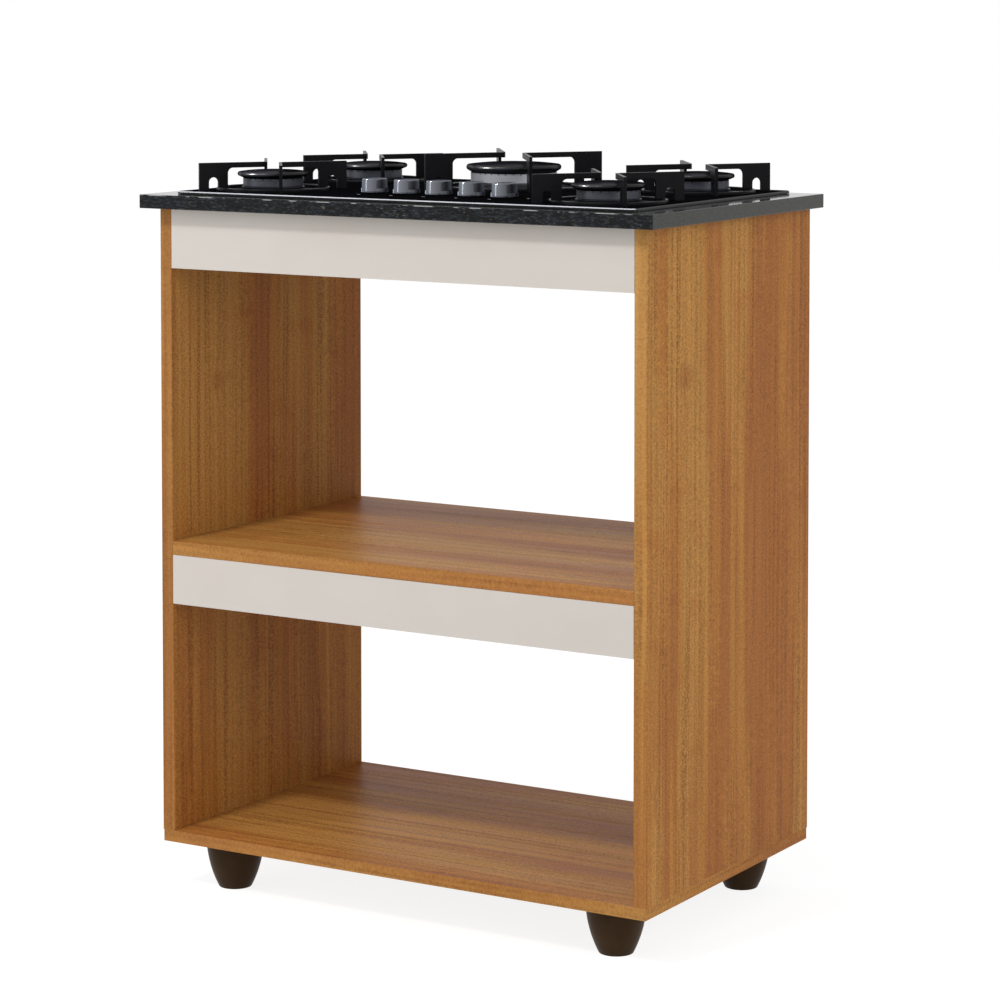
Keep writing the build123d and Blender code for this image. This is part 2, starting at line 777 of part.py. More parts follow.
def drip_dish(burner):
    """The low cone round a burner's cup, inside the pan support's ring."""
    size = burner.size
    rim, shoulder, neck = dish_profile(size)
    dish = turned((rim[0], 0), rim, shoulder, neck, (neck[0], neck[1] - dish_metal),
                  (shoulder[0], shoulder[1] - dish_metal), (rim[0] - 3 * dish_metal, 0))
    return Pos(burner.x, burner.y, plate_top) * dish


# Pan supports


def inner_foot_lift(size):
    """How far the inner foot of a leg stays up, so that it clears the drip dish where it starts."""
    run = size.support_reach_x - size.support_vertex
    arm = hypot(run, size.support_reach_y)
    along = arm - strip_leg_length
    foot_x = size.support_vertex + along * run / arm
    foot_radius = hypot(foot_x, along * size.support_reach_y / arm) - strip_thickness / 2
    rim, shoulder, _ = dish_profile(size)
    rise = (rim[0] - foot_radius) * (shoulder[1] - rim[1]) / (rim[0] - shoulder[0])
    return rim[1] + rise + inner_foot_gap - burner_seat_gap


def bent_strip(size):
    """A strip bent to a V, from one outer leg over the burner to the next, each leg with an arch."""
    vertex, height = size.support_vertex, size.support_height
    end_x, end_y = size.support_reach_x, size.support_reach_y
    arm = hypot(end_x - vertex, end_y)
    turn = degrees(atan2(end_y, end_x - vertex))
    spine = FilletPolyline((end_x, -end_y), (vertex, 0), (end_x, end_y),
                           radius=strip_bend_radius + strip_thickness / 2)
    profile = Plane(origin=spine @ 0, z_dir=spine % 0) * Rectangle(strip_thickness, 2 * height)
    strip = sweep(profile, path=spine)
    strip = strip & block(-end_x, 2 * end_x, -2 * end_y, 2 * end_y, 0, height)
    window_top = height - strip_arm_height
    window_end = arm - strip_leg_length
    for hand in (-1, 1):
        window = block(-2 * strip_thickness - strip_bend_radius, window_end, -3 * strip_thickness,
                       3 * strip_thickness, -1, window_top)
        corner = window.edges().filter_by(Axis.Y).sort_by(Axis.X)[-2:].sort_by(Axis.Z)[-1]
        window = fillet(corner, strip_corner_radius)
        middle = arm - strip_leg_length / 2
        half = arch_width / 2
        arch = block(middle - half, middle + half, -3 * strip_thickness, 3 * strip_thickness,
                     -1, arch_height - half)
        arch += Pos(middle, 0, arch_height - half) * Rot(90, 0, 0) * Cylinder(half, 6 * strip_thickness)
        under_foot = block(window_end - 1, middle, -3 * strip_thickness, 3 * strip_thickness,
                           -1, inner_foot_lift(size))
        strip = strip - Pos(vertex, 0, 0) * Rot(0, 0, hand * turn) * (window + arch + under_foot)
    return strip


def pan_support(burner):
    """Two bent strips, back to back, on a low ring round the drip dish."""
    size = burner.size
    outer = ring_outer_radius(size)
    inner = outer - ring_width
    ring = turned((inner, 0), (outer, 0), (outer, ring_height), (inner, ring_height))
    ring = fillet(ring.faces().sort_by(Axis.Z)[-1].edges(), ring_edge_radius)
    strip = bent_strip(size)
    support = ring + strip + Rot(0, 0, 180) * strip
    return Pos(burner.x, burner.y, plate_top + burner_seat_gap) * support


# Taps, spindles and knobs


def tap_body(x):
    """A brass tap that saddles the manifold, bored for its plug and spindle."""
    half_x, half_y = tap_body_size[0] / 2, tap_body_size[1] / 2
    shoulder = tap_top - tap_neck_height
    body = block(x - half_x, x + half_x, knob_y - half_y, knob_y + half_y, manifold_level, shoulder)
    body += rod(x, knob_y, shoulder, tap_top, tap_neck_radius)
    body += deep_rod(x, knob_y + half_y - 1, knob_y + half_y + tap_outlet_length, feed_level,
                     tap_outlet_radius)
    cuts = [cross_rod(x - half_x - 1, x + half_x + 1, knob_y, manifold_level, manifold_radius + shaft_fit),
            rod(x, knob_y, tap_bore_floor, tap_lid_bottom, plug_radius + shaft_fit),
            rod(x, knob_y, tap_lid_bottom, tap_top + 1, spindle_radius + shaft_fit),
            deep_rod(x, knob_y + plug_radius + 1, knob_y + half_y + tap_outlet_length + 1, feed_level,
                     tap_outlet_bore_radius)]
    return body - cuts


def tap_plug(x):
    """The plug that turns in the tap and opens the gas way, slotted for the spindle's tongue."""
    bottom = tap_bore_floor + burner_seat_gap
    plug = rod(x, knob_y, bottom, plug_top, plug_radius)
    slot = Pos(x, knob_y, plug_top) * Box(tongue_length + 2 * fit_gap, tongue_width + 2 * fit_gap,
                                          2 * plug_slot_depth)
    port = deep_rod(x, knob_y, knob_y - plug_radius - 1, bottom + 1, plug_port_radius)
    return plug - slot - port


def knob_spindle(x):
    """The spindle: a tongue in the plug, a round shank and a flatted end for the knob."""
    shank_top = plate_top + spindle_top_above_plate
    shaft_top = knob_bottom + knob_shaft_depth
    tongue = Pos(x, knob_y, (plug_top - tongue_engagement + spindle_bottom) / 2) * Box(
        tongue_length, tongue_width, spindle_bottom - plug_top + tongue_engagement)
    shank = rod(x, knob_y, spindle_bottom, shank_top, spindle_radius)
    shaft = rod(x, knob_y, shank_top, shaft_top, shaft_radius)
    flat = block(x + shaft_flat, x + 2 * shaft_radius, knob_y - shaft_radius, knob_y + shaft_radius,
                 knob_bottom, shaft_top + 1)
    return tongue + shank + (shaft - flat)


def grip_corner(edge):
    """True for the upright edges where a grip flat meets the round of the knob."""
    return edge.bounding_box().size.Z > knob_height / 2


def knob(x):
    """A control knob: round and slightly tapered, with two grip flats that leave a ledge below them."""
    body = turned((0, 0), (knob_base_radius, 0), (knob_base_radius, knob_edge_radius),
                  (knob_top_radius, knob_height), (0, knob_height))
    for hand in (-1, 1):
        side = hand * (knob_grip_width / 2 + knob_base_radius)
        body = body - Pos(side, 0, knob_ledge_height + knob_height) * Box(
            2 * knob_base_radius, 4 * knob_base_radius, 2 * knob_height)
    body = fillet(body.edges().filter_by(grip_corner), knob_grip_edge)
    body = fillet(body.faces().sort_by(Axis.Z)[-1].edges(), knob_edge_radius)
    bore = rod(0, 0, -1, knob_shaft_depth + fit_gap, shaft_radius + shaft_fit)
    bore = bore - block(shaft_flat + shaft_fit, 2 * shaft_radius, -shaft_radius - 1, shaft_radius + 1,
                        -2, knob_shaft_depth + 1)
    relief = rod(0, 0, -1, knob_relief_depth, spindle_radius + knob_relief_gap)
    return Pos(x, knob_y, knob_bottom) * (body - bore - relief)


# Pipes


def tube(points, bend, outer, wall):
    """A pipe along straight runs joined by arcs."""
    path = FilletPolyline(*points, radius=bend) if len(points) > 2 else Line(*points)
    plane = Plane(origin=path @ 0, z_dir=path % 0)
    return sweep(plane * (Circle(outer) - Circle(outer - wall)), path=path)


def gas_manifold():
    """The pipe that feeds the taps, closed at one end, on two low feet."""
    reach = knob_xs[-1] + manifold_end_reach
    pipe = cross_rod(-reach, reach, knob_y, manifold_level, manifold_radius)
    for side in (-1, 1):
        x = side * knob_pitch * 1.5
        half_x, half_y = manifold_foot_size[0] / 2, manifold_foot_size[1] / 2
        pipe += block(x - half_x, x + half_x, knob_y - half_y, knob_y + half_y, tray_floor, manifold_level)
    bore_radius = manifold_radius - manifold_wall
    return pipe - cross_rod(-reach + manifold_end_cap, reach + 1, knob_y, manifold_level, bore_radius)


def gas_inlet():
    """The supply pipe: from the manifold, down through the tray, and back to a threaded stub.

    The stub looks to the back just under the rear rail, so that a hose can be screwed on from behind.
    """
    hex_y = inlet_y + inlet_bend_radius + inlet_straight
    stub_y = hex_y + inlet_hex_height
    end_y = stub_y + inlet_thread_length
    route = ((inlet_start, knob_y, manifold_level), (inlet_x, knob_y, manifold_level),
             (inlet_x, inlet_y, manifold_level), (inlet_x, inlet_y, inlet_level),
             (inlet_x, end_y, inlet_level))
    pipe = tube(route, inlet_bend_radius, inlet_pipe_radius, inlet_pipe_wall)
    nut = extrude(RegularPolygon(inlet_hex_width / 2, 6, major_radius=False), inlet_hex_height)
    nut = nut - Cylinder(inlet_pipe_radius - inlet_pipe_wall / 2, 4 * inlet_hex_height)
    stub = deep_rod(inlet_x, stub_y, end_y, inlet_level, inlet_thread_radius)
    stub = chamfer(stub.edges().filter_by(GeomType.CIRCLE).sort_by(Axis.Y)[-1], inlet_thread_chamfer)
    stub = stub - deep_rod(inlet_x, stub_y - 1, end_y + 1, inlet_level,
                           inlet_pipe_radius - inlet_pipe_wall / 2)
    lock_nut = Pos(inlet_x, inlet_y, tray_bottom - inlet_hex_height) * nut
    collar = Pos(inlet_x, stub_y, inlet_level) * Rot(90, 0, 0) * nut
    return pipe + lock_nut + collar + stub


def feed_tubes():
    """A thin tube from each tap to its burner's cup: along the depth, then across, then to the cup's wall."""
    tubes = []
    start = knob_y + tap_body_size[1] / 2 + feed_start_gap
    for x, burner in zip(knob_xs, burners):
        if burner.x == 0:
            points = [(x, start, feed_level), (x, burner.y - burner.size.cup_radius, feed_level)]
        else:
            row = knob_y + (near_feed_run if burner.y < 0 else far_feed_run)
            side = 1 if row > burner.y else -1
            points = [(x, start, feed_level), (x, row, feed_level), (burner.x, row, feed_level),
                      (burner.x, burner.y + side * burner.size.cup_radius, feed_level)]
        tubes.append(tube(points, feed_bend_radius, feed_radius, feed_wall))
    return tubes


def build():
    """Make every node and write it."""
    os.makedirs("parts", exist_ok=True)
    save("side_left", side_panel(-1))
    save("side_right", side_panel(1))
    save("base_panel", base_panel())
    save("middle_shelf", middle_shelf())
    save("upper_front_rail", rail(carcass_front, upper_rail_bottom, upper_rail_height, 1))
    save("lower_front_rail", rail(carcass_front, lower_rail_bottom, lower_rail_height, 1))
    back = carcass_back - rail_thickness
    save("upper_rear_rail", rail(back, rear_upper_rail_bottom, rear_upper_rail_height, -1))
    save("lower_rear_rail", rail(back, lower_rail_bottom, lower_rail_height, -1))
    save("worktop", worktop())
    save("wood_dowels", *wood_dowels())
    save("cam_bolts", *cam_bolts())
    save("cam_locks", *cam_locks())
    save("base_screws", *base_screws())
    save("foot_screws", *foot_screws())
    save("worktop_brackets", *worktop_brackets())
    save("short_screws", *short_screws())
    for name, x, y in foot_centres():
        save(name, foot(x, y))
    save("cooktop_plate", cooktop_plate())
    save("cooktop_seal", cooktop_seal())
    save("cooktop_tray", cooktop_tray())
    save("cooktop_clamps", *cooktop_clamps())
    save("gas_manifold", gas_manifold())
    save("gas_inlet", gas_inlet())
    save("feed_tubes", *feed_tubes())
    save("tap_bodies", *[tap_body(x) for x in knob_xs])
    save("drip_dishes", *[drip_dish(b) for b in burners])
    save("burner_cups", *[burner_cup(b) for b in burners])
    for x, burner in zip(knob_xs, burners):
        save("crown_" + burner.name, burner_crown(burner))
        save("cap_" + burner.name, burner_cap(burner))
        save("pan_support_" + burner.name, pan_support(burner))
        save("tap_plug_" + burner.name, tap_plug(x))
        save("spindle_" + burner.name, knob_spindle(x))
        save("knob_" + burner.name, knob(x))


build()
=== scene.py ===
import math
import bmesh
import bpy
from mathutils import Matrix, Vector


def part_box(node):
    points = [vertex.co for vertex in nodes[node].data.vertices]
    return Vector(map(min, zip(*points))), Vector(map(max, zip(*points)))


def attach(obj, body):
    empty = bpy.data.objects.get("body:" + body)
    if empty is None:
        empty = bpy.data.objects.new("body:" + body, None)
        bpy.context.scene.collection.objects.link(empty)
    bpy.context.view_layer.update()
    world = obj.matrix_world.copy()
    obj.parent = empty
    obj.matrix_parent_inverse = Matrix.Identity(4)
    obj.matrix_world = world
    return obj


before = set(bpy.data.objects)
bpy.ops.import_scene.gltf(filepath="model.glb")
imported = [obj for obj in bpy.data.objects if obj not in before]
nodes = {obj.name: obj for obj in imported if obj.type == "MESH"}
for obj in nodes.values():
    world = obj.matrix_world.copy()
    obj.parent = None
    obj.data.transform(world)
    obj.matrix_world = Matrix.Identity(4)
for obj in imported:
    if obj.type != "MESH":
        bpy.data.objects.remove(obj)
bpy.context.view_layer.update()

# A base cabinet with two open bays and a five-burner gas cooktop.
# The frame brings every solid. This file gives them their finishes, and adds printed marks, light and camera.
# Metres, origin on the floor under the middle of the worktop, +X right along the front, +Y to the back.

places = ["left_front", "left_rear", "centre", "right_rear", "right_front"]
print("frame loaded:", len(nodes), "nodes")


# Small helpers for colours and objects

def tone(red, green, blue):
    # a screen colour, 0 to 255, as the linear colour that shaders take
    def linear(value):
        value = value / 255
        return value / 12.92 if value <= 0.04045 else ((value + 0.055) / 1.055) ** 2.4
    return (linear(red), linear(green), linear(blue), 1.0)


def addObject(name, data):
    thing = bpy.data.objects.new(name, data)
    bpy.context.scene.collection.objects.link(thing)
    return thing


# Small helpers for node trees

def connect(tree, value, socket):
    # a socket is linked, anything else becomes the input's plain value
    if isinstance(value, bpy.types.NodeSocket):
        tree.links.new(value, socket)
    else:
        socket.default_value = value


def addNode(tree, kind, sockets=None, **settings):
    node = tree.nodes.new(kind)
    for name, value in settings.items():
        setattr(node, name, value)
    for name, value in (sockets or {}).items():
        connect(tree, value, node.inputs[name])
    return node


def calc(tree, operation, *values):
    return addNode(tree, "ShaderNodeMath", dict(enumerate(values)), operation=operation).outputs[0]


def times(tree, first, second):
    return calc(tree, "MULTIPLY", first, second)


def centred(tree, value, middle=0.5):
    return calc(tree, "SUBTRACT", value, middle)


def remap(tree, value, low, high, toLow=0.0, toHigh=1.0, smooth=False):
    # the span from low to high becomes the span from toLow to toHigh, and nothing goes past its ends
    sockets = {"Value": value, "From Min": low, "From Max": high, "To Min": toLow, "To Max": toHigh}
    curve = "SMOOTHSTEP" if smooth else "LINEAR"
    return addNode(tree, "ShaderNodeMapRange", sockets, interpolation_type=curve, clamp=True).outputs[0]


def blendTone(tree, factor, first, second, mode="MIX"):
    sockets = {0: factor, 6: first, 7: second}
    return addNode(tree, "ShaderNodeMix", sockets, data_type="RGBA", blend_type=mode).outputs[2]


def splitPoint(tree, vector):
    return addNode(tree, "ShaderNodeSeparateXYZ", {0: vector}).outputs


def joinPoint(tree, x, y, z):
    return addNode(tree, "ShaderNodeCombineXYZ", {"X": x, "Y": y, "Z": z}).outputs[0]


def pointCalc(tree, operation, first, second, socket=1):
    return addNode(tree, "ShaderNodeVectorMath", {0: first, socket: second}, operation=operation).outputs[0]


def noise(tree, vector, by=None, scale=1.0, detail=2.0, roughness=0.5):
    # by says how fast the noise changes along x, y and z
    if by:
        vector = pointCalc(tree, "MULTIPLY", vector, by)
    sockets = {"Vector": vector, "Scale": scale, "Detail": detail, "Roughness": roughness}
    return addNode(tree, "ShaderNodeTexNoise", sockets).outputs["Fac"]


noiseSpan = (0.3, 0.7)  # nearly all of a noise lies in it


def newGroup(name, inputs, outputs):
    group = bpy.data.node_groups.new(name, "ShaderNodeTree")
    kinds = {"vector": "NodeSocketVector", "value": "NodeSocketFloat", "color": "NodeSocketColor"}
    for label, kind, start in inputs:
        socket = group.interface.new_socket(label, in_out="INPUT", socket_type=kinds[kind])
        if start is not None:
            socket.default_value = start
    for label, kind in outputs:
        group.interface.new_socket(label, in_out="OUTPUT", socket_type=kinds[kind])
    return group, addNode(group, "NodeGroupInput").outputs, addNode(group, "NodeGroupOutput").inputs


def useGroup(tree, group, **sockets):
    # mainTone=... sets the input named Main Tone
    node = addNode(tree, "ShaderNodeGroup", node_tree=group)
    for name, value in sockets.items():
        label = "".join(" " + letter if letter.isupper() else letter for letter in name)
        connect(tree, value, node.inputs[label[0].upper() + label[1:]])
    return node.outputs


def newMaterial(name, **plain):
    # a material with one Principled shader, whose plain values go straight on its sockets
    material = bpy.data.materials.new(name)
    material.use_nodes = True
    tree = material.node_tree
    shader = tree.nodes["Principled BSDF"].inputs
    for label, value in plain.items():
        shader[label.replace("_", " ")].default_value = value
    return material, tree, shader


def surfacePlace(tree):
    return addNode(tree, "ShaderNodeTexCoord").outputs


def varyRoughness(tree, shader, mask, look, below, above):
    rough = remap(tree, mask, 0, 1, look["roughness"] - below, look["roughness"] + above)
    connect(tree, rough, shader["Roughness"])


def emboss(tree, shader, height, strength, depth):
    sockets = {"Height": height, "Strength": strength, "Distance": depth}
    connect(tree, addNode(tree, "ShaderNodeBump", sockets).outputs[0], shader["Normal"])


def addCoat(tree, shader, coat):
    # a clear coat, which fades from fullAt to goneAt as the surface is seen more nearly edge on
    facing = addNode(tree, "ShaderNodeLayerWeight", {"Blend": 0.5}).outputs["Facing"]
    weight = remap(tree, facing, coat["goneAt"], coat["fullAt"], 0.0, coat["strength"])
    connect(tree, weight, shader["Coat Weight"])
    connect(tree, coat["roughness"], shader["Coat Roughness"])
    connect(tree, coat["ior"], shader["Coat IOR"])


def spread(tree):
    # lays the nodes out in columns from the output leftwards, so that the tree can be read
    depth = {}

    def walk(node, column):
        if depth.get(node.name, -1) >= column:
            return
        depth[node.name] = column
        for socket in node.inputs:
            for link in socket.links:
                walk(link.from_node, column + 1)
    for node in tree.nodes:
        if not any(socket.is_linked for socket in node.outputs):
            walk(node, 0)
    columnWidth, rowHeight = 240, 220
    rows = {}
    for node in tree.nodes:
        column = depth.get(node.name, 0)
        node.location = (-columnWidth * column, -rowHeight * rows.get(column, 0))
        rows[column] = rows.get(column, 0) + 1


# Shared effects

def makeFaceSides():
    # which way a face looks: along x, y or z
    labels = ("Along X", "Along Y", "Along Z")
    squareSpan = (0.6, 0.8)  # how nearly square to an axis a face starts to count, and counts in full
    group, source, result = newGroup("faceSides", [("Normal", "vector", None)],
                                     [(label, "value") for label in labels])
    for label, part in zip(labels, splitPoint(group, source["Normal"])):
        connect(group, remap(group, calc(group, "ABSOLUTE", part), *squareSpan), result[label])
    return group


# how fast each layer of the wood print changes along x, y and z, where z is along the grain
grainLayers = {
    "drift": {"by": (7, 7, 1.8)},
    "wide": {"by": (13, 13, 1.1)},
    "middle": {"by": (60, 60, 2.0)},
    "cloud": {"by": (20, 20, 26), "detail": 3},
    "fine": {"by": (150, 150, 1.8), "detail": 1, "roughness": 0.6},
    "pore": {"by": (260, 260, 400), "detail": 3, "roughness": 0.6},
    "patch": {"by": (22, 22, 1.6)},
}
# how the layers mix; a span's two numbers say where a feature starts and where it is full
grainMix = {
    "wander": 0.016,  # how far the bands drift sideways
    "knotPush": 0.004,  # how far a knot pushes them aside
    "middleShare": 0.35,
    "cloudSpan": (0.52, 0.72),
    "cloudShare": -0.07,
    "backSpan": (0.0, 0.2),  # from the cabinet's middle to its back the tone turns a little darker
    "backTurn": (0.03, -0.05),
    "hueMiddle": 0.48,
    "mainSpan": (0.34, 0.50),
    "paleSpan": (0.50, 0.66),
    "patchSpan": (0.40, 0.58),
    "patchFloor": 0.15,
    "lineSpan": (0.54, 0.66),
    "dotSpan": (0.60, 0.42),
    "dotFloor": 0.1,
    "fineShare": -0.6,
    "knotSpan": (0.1, 1.0),
    "knotDarkness": 0.55,
    "knotPoreSpan": (0.35, 0.6),
    "knotPoreFloor": 0.55,
}


def makeWoodGrain(mix):
    # wood print along the position's z: broad golden and reddish bands, red clouds, dotted lines, pores
    group, source, result = newGroup(
        "woodGrain",
        [("Position", "vector", None), ("Main Tone", "color", tone(164, 107, 56)),
         ("Pale Tone", "color", tone(178, 125, 70)), ("Dark Tone", "color", tone(152, 93, 49)),
         ("Streak Tone", "color", tone(112, 62, 38)), ("Band Strength", "value", 1.0),
         ("Streak Strength", "value", 0.5), ("Dash Strength", "value", 0.5), ("Knot", "value", 0.0)],
        [("Color", "color"), ("Height", "value"), ("Sheen", "value")])
    # the bands wander, and a knot pushes them aside
    drift = centred(group, noise(group, source["Position"], **grainLayers["drift"]))
    pushed = times(group, source["Knot"], mix["knotPush"])
    drift = calc(group, "ADD", times(group, drift, mix["wander"]), pushed)
    moved = pointCalc(group, "ADD", source["Position"], joinPoint(group, drift, drift, 0.0))
    wide, middle, cloud, fine, pore, patch = (noise(group, moved, **grainLayers[layer]) for layer in
                                              ("wide", "middle", "cloud", "fine", "pore", "patch"))
    # the hue runs from the dark tone over the main tone to the pale one
    hue = calc(group, "MULTIPLY_ADD", centred(group, middle), mix["middleShare"], wide)
    turn = remap(group, splitPoint(group, moved)["Y"], *mix["backSpan"], *mix["backTurn"], smooth=True)
    hue = calc(group, "ADD", hue, turn)
    cloud = remap(group, cloud, *mix["cloudSpan"])
    hue = calc(group, "MULTIPLY_ADD", cloud, mix["cloudShare"], hue)
    hue = calc(group, "MULTIPLY_ADD", centred(group, hue, mix["hueMiddle"]), source["Band Strength"], 0.5)
    shade = blendTone(group, remap(group, hue, *mix["mainSpan"]), source["Dark Tone"], source["Main Tone"])
    shade = blendTone(group, remap(group, hue, *mix["paleSpan"]), shade, source["Pale Tone"])
    # thin dark lines in clusters, broken into dots by the pores
    patch = remap(group, patch, *mix["patchSpan"], mix["patchFloor"], 1.0)
    line = times(group, remap(group, fine, *mix["lineSpan"]), patch)
    line = times(group, line, remap(group, pore, *mix["dotSpan"], mix["dotFloor"], 1.0))
    shade = blendTone(group, times(group, line, source["Streak Strength"]), shade, source["Streak Tone"])
    # fine lines and pores also lighten and darken the whole print
    level = calc(group, "ADD", times(group, centred(group, pore), source["Dash Strength"]), 1.0)
    level = calc(group, "MULTIPLY_ADD", centred(group, fine), mix["fineShare"], level)
    shade = pointCalc(group, "SCALE", shade, level, "Scale")
    knot = remap(group, source["Knot"], *mix["knotSpan"], 0.0, mix["knotDarkness"], smooth=True)
    knot = times(group, knot, remap(group, pore, *mix["knotPoreSpan"], 1.0, mix["knotPoreFloor"]))
    connect(group, blendTone(group, knot, shade, source["Streak Tone"]), result["Color"])
    connect(group, calc(group, "ADD", fine, pore), result["Height"])
    connect(group, remap(group, middle, *noiseSpan), result["Sheen"])
    return group


def makeKnotMark():
    # a knot, long along the grain: 1 at its heart, 0 away from it
    group, source, result = newGroup(
        "knotMark", [("Position", "vector", None), ("Centre", "vector", None), ("Across", "value", 0.005),
                     ("Along", "value", 0.02)], [("Mask", "value")])
    x, y, z = splitPoint(group, pointCalc(group, "SUBTRACT", source["Position"], source["Centre"]))
    # it runs through the board at a slant
    slant = 3
    across = calc(group, "DIVIDE", calc(group, "ADD", y, times(group, x, slant)), source["Across"])
    along = calc(group, "DIVIDE", z, source["Along"])
    square = calc(group, "ADD", times(group, across, across), times(group, along, along))
    connect(group, calc(group, "EXPONENT", times(group, square, -1.0)), result["Mask"])
    return group


def makeMottle():
    # the slight unevenness of moulded, cast, rolled or coated surfaces
    group, source, result = newGroup(
        "mottle", [("Position", "vector", None), ("Grain", "value", 600.0), ("Cloud", "value", 25.0)],
        [("Speckle", "value"), ("Patch", "value"), ("Height", "value")])
    speckle = noise(group, source["Position"], scale=source["Grain"], detail=2)
    patch = noise(group, source["Position"], scale=source["Cloud"], detail=3)
    connect(group, remap(group, speckle, *noiseSpan), result["Speckle"])
    connect(group, remap(group, patch, *noiseSpan), result["Patch"])
    speckleShare, patchShare = 0.7, 0.3
    height = calc(group, "MULTIPLY_ADD", patch, patchShare, times(group, speckle, speckleShare))
    connect(group, height, result["Height"])
    return group


def makeToolMarks():
    # the fine rings that turning leaves, one above the other along z
    group, source, result = newGroup("toolMarks", [("Position", "vector", None), ("Pitch", "value", 0.0004)],
                                     [("Mask", "value")])
    x, y, z = splitPoint(group, source["Position"])
    sideways = 20  # the rings' slow change round the piece
    spot = joinPoint(group, times(group, x, sideways), times(group, y, sideways),
                     calc(group, "DIVIDE", z, source["Pitch"]))
    connect(group, remap(group, noise(group, spot), *noiseSpan), result["Mask"])
    return group


rubbingMix = {
    "cloudSpan": (0.42, 0.68),
    "scratches": {"by": (60, 900, 900), "detail": 1},
    "scratchSpan": (0.35, 0.7),
    "scratchFloor": 0.6,
}


def makeRubbing(mix):
    # soft patches where hands and cloths have passed, with fine scratches in them
    group, source, result = newGroup(
        "rubbing", [("Position", "vector", None), ("Size", "value", 18.0), ("Amount", "value", 0.5)],
        [("Mask", "value")])
    cloud = noise(group, source["Position"], scale=source["Size"], detail=4, roughness=0.6)
    cloud = remap(group, cloud, *mix["cloudSpan"])
    scratch = noise(group, source["Position"], **mix["scratches"])
    scratch = remap(group, scratch, *mix["scratchSpan"], mix["scratchFloor"], 1.0)
    connect(group, times(group, times(group, cloud, scratch), source["Amount"]), result["Mask"])
    return group


faceSides = makeFaceSides()
woodGrain = makeWoodGrain(grainMix)
knotMark = makeKnotMark()
mottle = makeMottle()
toolMarks = makeToolMarks()
rubbing = makeRubbing(rubbingMix)
print("shared effects made")


# Carcass boards

carcassLook = {
    "mainTone": tone(167, 111, 53),
    "paleTone": tone(175, 125, 64),
    "darkTone": tone(156, 98, 49),
    "streakTone": tone(136, 76, 38),
    "edgeTint": (1.0, 1.10, 1.34, 1.0),  # the banding on front and back edges, against the boards' faces
    "edgeCalm": 0.65,  # how much of the grain's contrast stays on those edges
    "bandStrength": 1.3,
    "streakStrength": 0.52,
    "dashStrength": 1.4,
    "roughness": 0.42,
    "specular": 0.05,
    "reliefDepth": 0.00006,
    # where the upright boards' print has its knots: centre, half width and half length
    "knots": [((0.36, -0.1148, 0.7069), 0.024, 0.016), ((0.36, 0.1486, 0.2089), 0.005, 0.010),
              ((0.36, -0.1915, 0.202), 0.005, 0.026), ((-0.342, -0.11, 0.66), 0.020, 0.016)],
}
# painted shade: the left board's front and back edges are tinted darker than the right board's, evening out
# the extra light the left lamps throw on them
leftBoardShadedLook = dict(carcassLook, edgeTint=(0.83, 0.89, 1.10, 1.0))


def makeBoardMaterial(name, look, grainAlong, shift):
    # the print runs along x or z, and on the board's ends along y; shift picks another part of it
    material, tree, shader = newMaterial(name, Roughness=look["roughness"],
                                         Specular_IOR_Level=look["specular"])
    place = surfacePlace(tree)
    position = place["Object"]
    sides = useGroup(tree, faceSides, normal=place["Normal"])
    x, y, z = splitPoint(tree, position)
    across, along = (x, z) if grainAlong == "z" else (z, x)
    straight = joinPoint(tree, calc(tree, "ADD", across, shift), y, along)
    turned = joinPoint(tree, calc(tree, "ADD", x, shift), z, y)
    ends = sides["Along " + grainAlong.upper()]
    printed = addNode(tree, "ShaderNodeMix", {0: ends, 4: straight, 5: turned}, data_type="VECTOR").outputs[1]
    knot = 0.0
    if grainAlong == "z":
        for centre, halfWidth, halfLength in look["knots"]:
            mark = useGroup(tree, knotMark, position=position, centre=centre, across=halfWidth,
                            along=halfLength)["Mask"]
            knot = calc(tree, "ADD", knot, mark)
    calm = remap(tree, sides["Along Y"], 0, 1, 1.0, look["edgeCalm"])
    tones = {label: look[label] for label in ("mainTone", "paleTone", "darkTone", "streakTone")}
    strengths = {label: times(tree, calm, look[label])
                 for label in ("bandStrength", "streakStrength", "dashStrength")}
    grain = useGroup(tree, woodGrain, position=printed, knot=knot, **tones, **strengths)
    tinted = blendTone(tree, sides["Along Y"], grain["Color"], look["edgeTint"], "MULTIPLY")
    connect(tree, tinted, shader["Base Color"])
    varyRoughness(tree, shader, grain["Sheen"], look, below=0.05, above=0.06)
    emboss(tree, shader, grain["Height"], strength=0.5, depth=look["reliefDepth"])
    return material


uprightBoard = makeBoardMaterial("boardUpright", carcassLook, "z", 0.0)
leftBoardShaded = makeBoardMaterial("boardLeft", leftBoardShadedLook, "z", 0.0)
lyingBoard = makeBoardMaterial("boardLying", carcassLook, "x", 0.37)
print("carcass boards finished")


# Pale rails

railLook = {
    "tone": tone(202, 196, 189),
    "shadeTone": tone(199, 192, 184),
    "flattening": 1.6,  # how much lower than wide the mottle's patches are
    "fibres": {"by": (30, 30, 420), "detail": 3},
    "fibreSpan": (0.5, 0.75),
    "fibreShare": 0.35,
    "roughness": 0.45,
    "specular": 0.15,
    "textureDepth": 0.00004,
}


def makeRailMaterial(look):
    material, tree, shader = newMaterial("railCoating", Roughness=look["roughness"],
                                         Specular_IOR_Level=look["specular"])
    position = surfacePlace(tree)["Object"]
    flattened = pointCalc(tree, "MULTIPLY", position, (1, 1, look["flattening"]))
    skin = useGroup(tree, mottle, position=flattened, grain=900.0, cloud=9.0)
    fibres = remap(tree, noise(tree, position, **look["fibres"]), *look["fibreSpan"], 0.0, look["fibreShare"])
    shade = blendTone(tree, skin["Patch"], look["shadeTone"], look["tone"])
    shade = blendTone(tree, fibres, shade, look["shadeTone"])
    connect(tree, shade, shader["Base Color"])
    varyRoughness(tree, shader, skin["Speckle"], look, below=0.04, above=0.05)
    emboss(tree, shader, skin["Height"], strength=0.35, depth=look["textureDepth"])
    return material


railCoating = makeRailMaterial(railLook)
print("rails finished")


